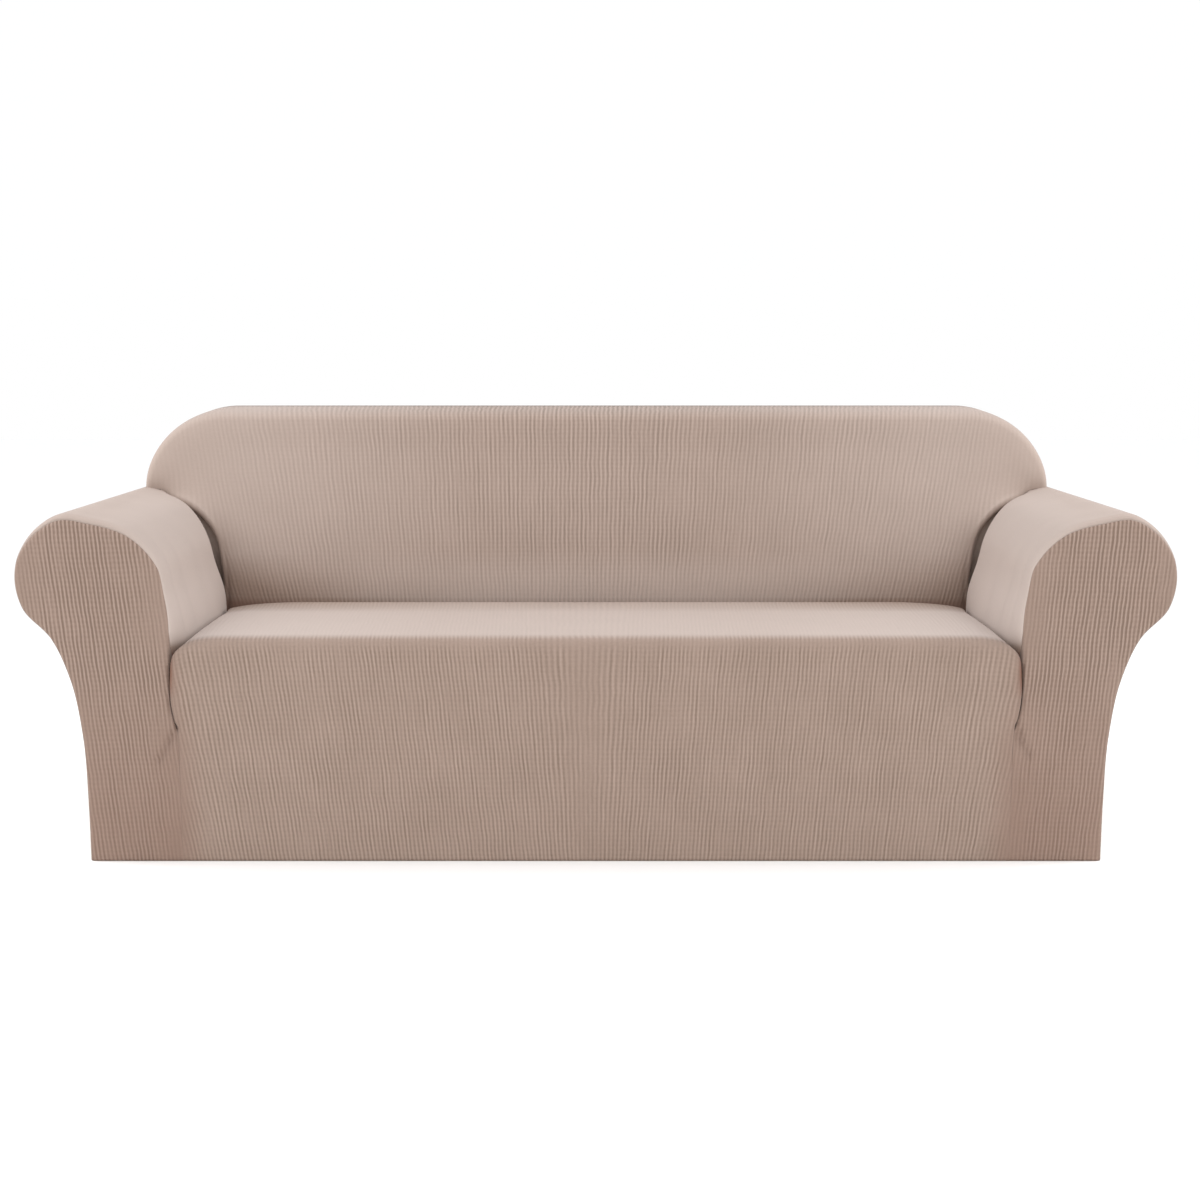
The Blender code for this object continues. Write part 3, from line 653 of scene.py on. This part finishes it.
def facing_grids(side, seat, sleeve):
    """The facing as two grids: a rim that rolls in from the seam, and the face inside it."""
    edge = seat[:, 0] if side < 0 else seat[:, -1]
    seam = np.vstack([edge[:SKIRT_ROWS], sleeve[:, 0]]) * (side, 1, 1)
    run = np.gradient(seam, axis=0)[:, [0, 2]]
    inward = np.column_stack([run[:, 1], -run[:, 0]]) / np.hypot(run[:, 0], run[:, 1])[:, None]
    for end in (0, -1):
        inward[end] = (math.copysign(1, inward[end, 0]), 0)
    inward[:, 1] *= np.clip((np.arange(len(seam)) - SKIRT_ROWS) / FRONT_CORNER_ROWS, 0, 1)
    inward[:SKIRT_ROWS + 1] = inward[0]
    rim_xz = seam[:, [0, 2]] + inward * FACING_RIM
    rim_y = fold_depth(side, *rim_xz.T)
    rolls = []
    for share in RIM_SHARES:
        x, z = (seam[:, [0, 2]] + (rim_xz - seam[:, [0, 2]]) * share).T
        y = rim_y + (seam[:, 1] - rim_y) * (1 - share) ** RIM_POWER
        rolls.append(np.column_stack([x, y, z]))
    rim = rolls[-1]
    rise = (len(seam) - 1 - FACING_COLUMNS) // 2
    left, right = rim[:rise + 1, None], rim[rise + FACING_COLUMNS:][::-1][:, None]
    top = rim[rise:rise + FACING_COLUMNS + 1][None]
    u = np.linspace(0, 1, FACING_COLUMNS + 1)[None, :, None] ** FACING_COLUMN_PACE
    v = np.linspace(0, 1, rise + 1)[:, None, None]
    flat = left * (1 - u) + right * u + (top - top[:, :1] * (1 - u) - top[:, -1:] * u) * v
    crown = FACING_CROWN * np.sin(math.pi * u) * np.sin(math.pi * np.minimum(v * FACING_CROWN_PACE, 1) / 2)
    crown = crown * (1 - v ** FACING_CROWN_POWER)
    flat[:, :, 1] = fold_depth(side, flat[:, :, 0], flat[:, :, 2]) - crown[:, :, 0]
    flat[:, 0], flat[:, -1], flat[-1] = left[:, 0], right[:, 0], top[0]
    return np.array(rolls) * (side, 1, 1), flat * (side, 1, 1)


def rear_grid(back, sleeves):
    """The outside back, ruled from side to side: rows from the hem up the arms and round to the top of the
    back."""
    first = len(back) - 1
    rounded = np.count_nonzero(column_offsets() <= SOLID_COLUMNS[CLOSE_COLUMNS + CORNER_COLUMNS])
    left = np.vstack([sleeves[-1][first:, -1][::-1], back[-1, 1:rounded + 1]])
    right = np.vstack([sleeves[1][first:, -1][::-1], back[-1, ::-1][1:rounded + 1]])
    top = back[-1, rounded:len(back[-1]) - rounded, 0]
    u = ((top - top[0]) / (top[-1] - top[0]))[None, :, None]
    return left[:, None] * (1 - u) + right[:, None] * u


def hem_turned(row):
    """The points on the inner edge of a turned-under hem, from the row on its fold."""
    hem_half = HALF_SEAT + ARM_SECTION[-1][0]
    x = row[:, 0] * (1 - HEM_TURN / hem_half)
    y = DEPTH / 2 + (row[:, 1] - DEPTH / 2) * (1 - HEM_TURN / (DEPTH / 2))
    return np.column_stack([x, y, row[:, 2]])


def rib_place(x, run, fan):
    """Where across the cloth's lower edge the rib starts that passes x, for each row at its own run up the
    cloth."""
    table = np.array(fan)
    start = np.linspace(table[0, 0], table[-1, 0], FAN_SAMPLES)
    lean = np.interp(start, table[:, 0], table[:, 1])
    return np.array([np.interp(row, start + lean * length, start) for row, length in zip(x, run)])


def across_lengths(grid):
    """Length along each row of a grid, from its first column."""
    return run_lengths(grid.swapaxes(0, 1)).T


def seat_weave(grid):
    """UV of the seat panel in metres of cloth, how strongly its ribs stand, and its painted light and shade.
    """
    middle = grid.shape[1] // 2
    run = run_lengths(grid[:, middle])
    across = across_lengths(grid)
    across -= across[:, middle:middle + 1]
    edge = run[SKIRT_ROWS]
    leaning = np.minimum(run, edge) + SEAT_TOP_LEAN * np.maximum(run - edge, 0)
    u = rib_place(across, leaning, SKIRT_FAN)
    v = np.broadcast_to(run[:, None], u.shape)
    past_edge = v - edge
    gap = np.minimum(across - across[:, :1], across[:, -1:] - across)
    on_top = between(past_edge, *SEAT_TOP)
    wedge_width = WEDGE_FOOT + WEDGE_SPREAD * between(v, 0, edge)
    wedge = np.clip(WEDGE_FILL - np.abs(across - WEDGE_X) / wedge_width, 0, 1) * (past_edge <= WEDGE_TOP)
    relief = 1 - SEAT_TOP_FLATTENING * on_top
    relief = relief * (SEAT_SEAM_RIBS + (1 - SEAT_SEAM_RIBS) * between(gap, *SEAT_SEAM))
    relief = relief * (1 - FRONT_EDGE_FLATTENING * bell(past_edge - FRONT_EDGE_LINE, FRONT_EDGE_WIDTH))
    relief = relief * (1 - WEDGE_FLATTENING * wedge)
    # Painted light makes the top palest, and painted shade darkens the cloth where it dives into the creases
    # and the skirt beside the seams.
    sides = between(np.abs(across), *SEAT_SIDES)
    before_rear = between(run[-1] - v, *SEAT_REAR)
    painted_light_and_shade = (SEAT_TOP_PAINTED_LIGHT + SEAT_SIDE_PAINTED_LIGHT * sides) * on_top
    painted_light_and_shade = painted_light_and_shade * (SEAT_REAR_PAINTED_LIGHT + (1 - SEAT_REAR_PAINTED_LIGHT) * before_rear)
    painted_light_and_shade -= SEAT_REAR_PAINTED_SHADE * sides * (1 - before_rear) * on_top
    painted_light_and_shade -= CREASE_PAINTED_SHADE * bell(gap, CREASE_WIDTH) * between(past_edge, *CREASE_START)
    painted_shade = (SKIRT_PAINTED_SHADE + SKIRT_FOOT_PAINTED_SHADE * between(v, *SKIRT_FOOT)) * bell(gap, SKIRT_PAINTED_SHADE_WIDTH)
    return u, v, SEAT_RIBS * relief, painted_light_and_shade - painted_shade * (v < edge)


def back_weave(grid):
    """UV of the back, upright on its face and unrolled outwards over its edge, its ribs, and its painted
    light and shade.
    """
    face_rows = BACK_FACE_ROWS + 1
    over = run_lengths(grid[face_rows - 1:])[1:]
    out = grid[-1, :, [0, 2]] - grid[face_rows - 1, :, [0, 2]]
    out = out / np.linalg.norm(out, axis=0)
    x = np.concatenate([grid[:face_rows, :, 0], grid[face_rows - 1, :, 0] + out[0] * over])
    z = np.concatenate([grid[:face_rows, :, 2], grid[face_rows - 1, :, 2] + out[1] * over]) - CREASE_HEIGHT
    table = np.array(BACK_FAN)
    start = np.linspace(-BACK_FAN_REACH, BACK_FAN_REACH, BACK_FAN_SAMPLES)
    lean = np.interp(start, table[:, 0], table[:, 1])
    u = np.empty_like(x)
    for level in range(len(x)):
        height = np.clip(z[level].mean(), 0, None)
        u[level] = np.interp(x[level], start + lean * height, start)
    from_middle = np.abs(x)
    sides = between(from_middle, *BACK_SIDES)
    # Painted light over the whole back, more at its foot away from the sides and up its sides.
    foot = between(z, *BACK_FOOT) * (1 - BACK_FOOT_SIDE_LOSS * sides)
    painted_light_and_shade = BACK_PAINTED_LIGHT + BACK_FOOT_PAINTED_LIGHT * foot
    painted_light_and_shade += BACK_SIDE_PAINTED_LIGHT * sides * between(z, *BACK_SIDES_UP)
    # Painted shade in the hollows beside the arms, darker in the left hollow than in the right one.
    hollow = between(from_middle, *HOLLOW_ACROSS) * between(z, *HOLLOW_UP)
    painted_light_and_shade -= (HOLLOW_PAINTED_SHADE - HOLLOW_UNEVEN * np.sign(x)) * hollow
    # A thin line of painted shade along the foot of the back, darker towards the sides.
    foot_line_shade = SHADE_LINE_MIDDLE + (1 - SHADE_LINE_MIDDLE) * between(from_middle, *SHADE_LINE_ACROSS)
    painted_light_and_shade -= SHADE_LINE_DARKENING * foot_line_shade * between(z, *SHADE_LINE_UP)
    relief = np.interp(x, *np.array(BACK_RELIEF).T)
    return u / BACK_STRETCH, z, relief, painted_light_and_shade


def sleeve_weave(grid):
    """UV of a sleeve, whose ribs run over the arm from seat to hem, how they stand, and its painted light and
    shade.
    """
    v = run_lengths(grid)
    u = across_lengths(grid)
    row = np.arange(len(grid))[:, None]
    outer = between(row / len(grid), *SLEEVE_OUTSIDE)
    relief = np.broadcast_to(SLEEVE_RIBS + SLEEVE_OUTSIDE_RIBS * outer, u.shape)
    # Painted light on the inside and top of the arm, less on the outside, and painted shade in the crease
    # beside the seat.
    painted_light_and_shade = SLEEVE_PAINTED_LIGHT + SLEEVE_INSIDE_PAINTED_LIGHT * between(row, *SLEEVE_INSIDE_ROWS)
    painted_light_and_shade = painted_light_and_shade * (1 - SLEEVE_OUTSIDE_LOSS * outer)
    painted_light_and_shade -= SLEEVE_CREASE_PAINTED_SHADE * bell(row, SLEEVE_CREASE_ROWS)
    return u, v, relief, painted_light_and_shade


def facing_weave(side, points):
    """UV of an arm front, whose ribs lean from the hem up, how strongly they stand, and its painted shade."""
    x, z = points[:, :, 0] * side, points[:, :, 2]
    u = side * (x - FACING_LEAN[side] * (z - HEM_HEIGHT))
    breadth = ARM_BREADTH * np.maximum(between(z, *FACING_WIDENS), FACING_FOOT_SHARE)
    high = between(z, *FACING_HIGH)
    from_middle = (x - HALF_SEAT - breadth / 2) / (FACING_RIBS_WIDTH + FACING_RIBS_WIDENING * high)
    relief = (FACING_RIBS + FACING_HIGH_RIBS * high) * np.exp(-from_middle ** 4) + FACING_LEAST_RIBS
    # Painted shade over the whole front, darker towards the foot and low down beside the seat seam.
    seam = bell(x - HALF_SEAT, FACING_SEAM_WIDTH) * between(z, *FACING_SEAM_UP)
    painted_shade = FACING_PAINTED_SHADE + FACING_FOOT_PAINTED_SHADE * between(z, *FACING_FOOT) + FACING_SEAM_PAINTED_SHADE * seam
    return u, z, relief, -painted_shade


def plain_weave(points):
    """UV of the outside back, which hangs straight."""
    return points[:, :, 0], points[:, :, 2], REAR_RIBS, 0.0


# ---------------------------------------------------------------- meshes
class Panel:
    """One cut piece of cloth, gathered from grids of points with their place in the weave."""

    def __init__(self, name, cut):
        self.name, self.flat, self.area = name, cut[:2], cut[2]
        self.points, self.weave, self.faces = [], [], []
        self.count = 0

    def add(self, grid, weave, flip=False):
        rows, columns = grid.shape[:2]
        index = np.arange(rows * columns).reshape(rows, columns) + self.count
        a, b, c, d = index[:-1, :-1], index[:-1, 1:], index[1:, 1:], index[1:, :-1]
        quads = np.stack([a, d, c, b] if flip else [a, b, c, d], axis=-1).reshape(-1, 4)
        self.points.append(grid.reshape(-1, 3))
        weave = [np.broadcast_to(part, grid.shape[:2]) for part in weave]
        self.weave.append(np.stack(weave, axis=-1).reshape(-1, 4))
        self.faces.append(quads)
        self.count += rows * columns

    def make(self, material):
        """A smooth mesh in the frame, CLOTH thick."""
        points = np.vstack(self.points) - HANGING_POINT
        weave = np.vstack(self.weave)
        faces = np.vstack(self.faces)
        rounded = np.round(points, SAME_DIGITS)
        _, first, same = np.unique(rounded, axis=0, return_index=True, return_inverse=True)
        same = same.ravel()
        mesh = bpy.data.meshes.new(self.name)
        corners = same[faces]
        mesh.from_pydata(points[first].tolist(), [], corners.tolist())
        uv = mesh.uv_layers.new(name="weave")
        uv.data.foreach_set("uv", weave[faces.ravel(), :2].astype(np.float32).ravel())
        # Point attributes: how strongly the ribs stand, and the painted light and shade.
        for column, name in ((2, "relief"), (3, "painted_light_and_shade")):
            values = mesh.attributes.new(name, "FLOAT", "POINT")
            values.data.foreach_set("value", weave[first, column].astype(np.float32))
        mesh.materials.append(material)
        mesh.validate()
        mesh.shade_smooth()
        piece = bpy.data.objects.new(self.name, mesh)
        bpy.context.scene.collection.objects.link(piece)
        wall = piece.modifiers.new("cloth", "SOLIDIFY")
        wall.thickness = CLOTH
        wall.offset = -1
        wall.use_rim = True
        return plain_mesh(piece)


def plain_mesh(piece):
    """The piece with its modifiers turned into mesh."""
    graph = bpy.context.evaluated_depsgraph_get()
    mesh = bpy.data.meshes.new_from_object(piece.evaluated_get(graph))
    piece.modifiers.clear()
    piece.data = mesh
    return piece


# ---------------------------------------------------------------- materials
def linear(hex_colour):
    """Linear RGBA from an sRGB hex colour."""
    parts = [int(hex_colour[i:i + 2], 16) / 255 for i in (1, 3, 5)]
    return [p / 12.92 if p <= 0.04045 else ((p + 0.055) / 1.055) ** 2.4 for p in parts] + [1.0]


def new_material(name):
    material = bpy.data.materials.new(name)
    material.use_nodes = True
    material.node_tree.nodes.clear()
    return material, material.node_tree


def node(tree, kind, inputs=None, **settings):
    """Adds a node. Its inputs are values, sockets that feed it, or nodes whose first output does, and the
    settings are its own properties."""
    made = tree.nodes.new(kind)
    for key, value in settings.items():
        setattr(made, key, value)
    for key, value in (inputs or {}).items():
        if isinstance(value, bpy.types.Node):
            value = value.outputs[0]
        if isinstance(value, bpy.types.NodeSocket):
            tree.links.new(value, made.inputs[key])
        else:
            made.inputs[key].default_value = value
    return made


def jacquard():
    """Stretch rib jacquard, polyester with elastane, circular knitted: matt, soft to the light at a glancing
    angle, with raised ribs cut into small cells. Painted light makes its colour paler and painted shade
    darker."""
    material, tree = new_material("stretch_rib_jacquard")
    weave = node(tree, "ShaderNodeUVMap", uv_map="weave")
    relief, painted_light_and_shade = (node(tree, "ShaderNodeAttribute", attribute_name=name).outputs["Fac"]
                       for name in ("relief", "painted_light_and_shade"))
    place = node(tree, "ShaderNodeSeparateXYZ", {0: weave}).outputs
    wander = node(tree, "ShaderNodeTexNoise", {"Vector": weave, "Scale": WANDER_SCALE, "Detail": 2.0})
    waves = []
    for axis, pitch in (("X", RIB_PITCH), ("Y", CELL_PITCH)):
        strayed = node(tree, "ShaderNodeMath", {0: wander, 1: WANDER, 2: place[axis]},
                       operation="MULTIPLY_ADD")
        angle = node(tree, "ShaderNodeMath", {0: strayed, 1: 2 * math.pi / pitch}, operation="MULTIPLY")
        waves.append(node(tree, "ShaderNodeMath", {0: angle}, operation="COSINE"))
    ribs, cells = waves
    # Neighbouring ribs stand unevenly, in long streaks.
    streaks_at = node(tree, "ShaderNodeVectorMath", {0: weave, 1: STREAK_SCALE}, operation="MULTIPLY")
    streaks = node(tree, "ShaderNodeTexNoise", {"Vector": streaks_at, "Scale": 1.0, "Detail": 1.0})
    uneven = node(tree, "ShaderNodeMath", {0: streaks, 1: STREAK_SWING, 2: STREAK_LEAST},
                  operation="MULTIPLY_ADD")
    strength = node(tree, "ShaderNodeMath", {0: relief, 1: uneven}, operation="MULTIPLY")
    rib_light = node(tree, "ShaderNodeMath", {0: ribs, 1: strength}, operation="MULTIPLY")
    faint_cells = node(tree, "ShaderNodeMath", {0: cells, 1: CELL_CONTRAST}, operation="MULTIPLY")
    cell_light = node(tree, "ShaderNodeMath", {0: faint_cells, 1: relief}, operation="MULTIPLY")
    pattern = node(tree, "ShaderNodeMath", {0: rib_light, 1: cell_light}, operation="ADD")
    tone = node(tree, "ShaderNodeMath", {0: pattern, 1: RIB_CONTRAST, 2: 0.5}, operation="MULTIPLY_ADD")
    for scale, detail, roughness, contrast in UNEVEN_DYE:
        noise = node(tree, "ShaderNodeTexNoise", {
            "Vector": weave, "Scale": scale, "Detail": detail, "Roughness": roughness})
        swing = node(tree, "ShaderNodeMath", {0: noise, 1: 0.5}, operation="SUBTRACT")
        tone = node(tree, "ShaderNodeMath", {0: swing, 1: contrast, 2: tone}, operation="MULTIPLY_ADD")
    # Painted light makes the cloth paler. Painted shade makes it darker and redder, and darkest and reddest
    # of all deep in a crease.
    painted_shade = node(tree, "ShaderNodeMath", {0: painted_light_and_shade, 1: -1.0}, operation="MULTIPLY")
    deep = node(tree, "ShaderNodeMath", {0: painted_shade, 1: CREASE_SHADE_SHARE, 2: -CREASE_SHADE_START}, operation="MULTIPLY_ADD")
    colour = linear(DARK_THREAD)
    for share, tint in ((tone, PALE_THREAD), (painted_light_and_shade, PAINTED_LIGHT_COLOUR), (painted_shade, PAINTED_SHADE_COLOUR),
                        (deep, PAINTED_CREASE_SHADE_COLOUR)):
        colour = node(tree, "ShaderNodeMix", {"Factor": share, MIX_A: colour, MIX_B: linear(tint)},
                      data_type="RGBA", clamp_factor=True).outputs[MIX_RESULT]
    knit_at = node(tree, "ShaderNodeVectorMath", {0: weave, 1: (2 * math.pi / KNIT_PITCH,) * 3},
                   operation="MULTIPLY")
    knit = node(tree, "ShaderNodeSeparateXYZ", {0: knit_at}).outputs
    stitches, rows = (node(tree, "ShaderNodeMath", {0: knit[axis]}, operation="SINE") for axis in "XY")
    loops = node(tree, "ShaderNodeMath", {0: stitches, 1: rows}, operation="MULTIPLY")
    height = node(tree, "ShaderNodeMath", {0: loops, 1: KNIT_CONTRAST, 2: pattern}, operation="MULTIPLY_ADD")
    bump = node(tree, "ShaderNodeBump", {"Strength": 1.0, "Distance": RIB_DEPTH, "Height": height})
    shader = node(tree, "ShaderNodeBsdfPrincipled", {
        "Base Color": colour, "Normal": bump, "Roughness": 0.88, "Metallic": 0.0, "IOR": 1.45,
        "Specular IOR Level": 0.18, "Sheen Weight": 0.07, "Sheen Roughness": 0.5,
        "Sheen Tint": (1.0, 1.0, 1.0, 1.0)})
    node(tree, "ShaderNodeOutputMaterial", {"Surface": shader})
    return material


def pale_floor():
    """White vinyl sheet, rolled matt: it takes a soft contact shadow and gives no reflection."""
    material, tree = new_material("matt_white_vinyl")
    shader = node(tree, "ShaderNodeBsdfPrincipled", {
        "Base Color": linear(WHITE_VINYL), "Roughness": 0.9, "Specular IOR Level": 0.1})
    node(tree, "ShaderNodeOutputMaterial", {"Surface": shader})
    return material


# ---------------------------------------------------------------- the cover
def make_panels():
    """The seven cut pieces."""
    seat = seat_grid()
    back = back_grid(seat)
    sleeves = {side: sleeve_grid(side, seat) for side in (-1, 1)}
    with_hem = np.concatenate([hem_turned(seat[0])[None], seat])
    seat_panel = Panel("seat_panel", CUT_SIZES["seat_panel"])
    seat_panel.add(with_hem, [np.concatenate([part[:1] - turn, part])
                              for part, turn in zip(seat_weave(seat), (0, HEM_TURN, 0, 0))])
    back_panel = Panel("back_panel", CUT_SIZES["back_panel"])
    back_panel.add(back, back_weave(back))
    panels = {"seat_panel": seat_panel, "back_panel": back_panel}
    for side, word in ((-1, "left"), (1, "right")):
        sleeve = sleeves[side]
        name = f"arm_{word}"
        arm = panels[name] = Panel(name, CUT_SIZES["arm"])
        arm.add(np.concatenate([sleeve, hem_turned(sleeve[-1])[None]]),
                [np.concatenate([part, part[-1:] + turn])
                 for part, turn in zip(sleeve_weave(sleeve), (0, HEM_TURN, 0, 0))], flip=side > 0)
        rim, face = facing_grids(side, seat, sleeve)
        name = f"arm_front_{word}"
        facing = panels[name] = Panel(name, CUT_SIZES["arm_front"])
        facing.add(rim, facing_weave(side, rim), flip=side > 0)
        facing.add(face, facing_weave(side, face), flip=side < 0)
        hem = np.vstack([rim[:, 0], face[0][1:-1], rim[::-1, -1]])
        turned = np.array([hem_turned(hem), hem])
        facing.add(turned, facing_weave(side, turned), flip=side < 0)
    rear = rear_grid(back, sleeves)
    rear_panel = panels["rear_panel"] = Panel("rear_panel", CUT_SIZES["rear_panel"])
    rear_panel.add(rear, plain_weave(rear), flip=True)
    turned = np.array([hem_turned(rear[0]), rear[0]])
    rear_panel.add(turned, plain_weave(turned), flip=True)
    return panels


# ---------------------------------------------------------------- the studio
def make_floor():
    """A plain white floor at the height of the hem."""
    mesh = bpy.data.meshes.new("floor")
    level = HEM_HEIGHT - FLOOR_CLEARANCE - HANGING_POINT[2]
    corners = [(FLOOR_LEFT, FLOOR_FRONT, level), (FLOOR_RIGHT, FLOOR_FRONT, level),
               (FLOOR_RIGHT, FLOOR_REAR, level), (FLOOR_LEFT, FLOOR_REAR, level)]
    mesh.from_pydata(corners, [], [(0, 1, 2, 3)])
    mesh.materials.append(pale_floor())
    floor = bpy.data.objects.new("floor", mesh)
    bpy.context.scene.collection.objects.link(floor)


def make_lights():
    """Softboxes over the arms and in front, under a pale sky."""
    for name, size, place, target, watts in LIGHTS:
        data = bpy.data.lights.new(name, "AREA")
        data.shape = "RECTANGLE"
        data.size, data.size_y = size
        data.energy = watts
        light = bpy.data.objects.new(name, data)
        light.location = Vector(place) - Vector(HANGING_POINT)
        light.rotation_euler = (Vector(target) - Vector(place)).to_track_quat("-Z", "Y").to_euler()
        bpy.context.scene.collection.objects.link(light)
    world = bpy.data.worlds.new("studio")
    world.use_nodes = True
    tree = world.node_tree
    height = node(tree, "ShaderNodeSeparateXYZ", {0: node(tree, "ShaderNodeTexCoord")}).outputs["Z"]
    sky = node(tree, "ShaderNodeMix", {"Factor": height, MIX_A: SKY_LEVEL, MIX_B: SKY_TOP},
               data_type="RGBA", clamp_factor=True)
    tree.links.new(sky.outputs[MIX_RESULT], tree.nodes["Background"].inputs["Color"])
    bpy.context.scene.world = world


def make_camera():
    """Square on, a metre up, tipped a little down."""
    data = bpy.data.cameras.new("camera")
    data.sensor_width = CAMERA_SENSOR
    data.lens = CAMERA_LENS
    camera = bpy.data.objects.new("camera", data)
    camera.location = np.array(CAMERA_PLACE) - HANGING_POINT
    camera.rotation_euler = (math.radians(90 - CAMERA_TIP), 0, 0)
    bpy.context.scene.collection.objects.link(camera)
    bpy.context.scene.camera = camera


def main():
    cloth = jacquard()
    for name, panel in make_panels().items():
        piece = panel.make(cloth)
        piece.name = f"{name}_cloth"
        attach(piece, "root")
        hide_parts(name)
    make_floor()
    make_lights()
    make_camera()
    bpy.context.scene.view_settings.view_transform = "Standard"


main()
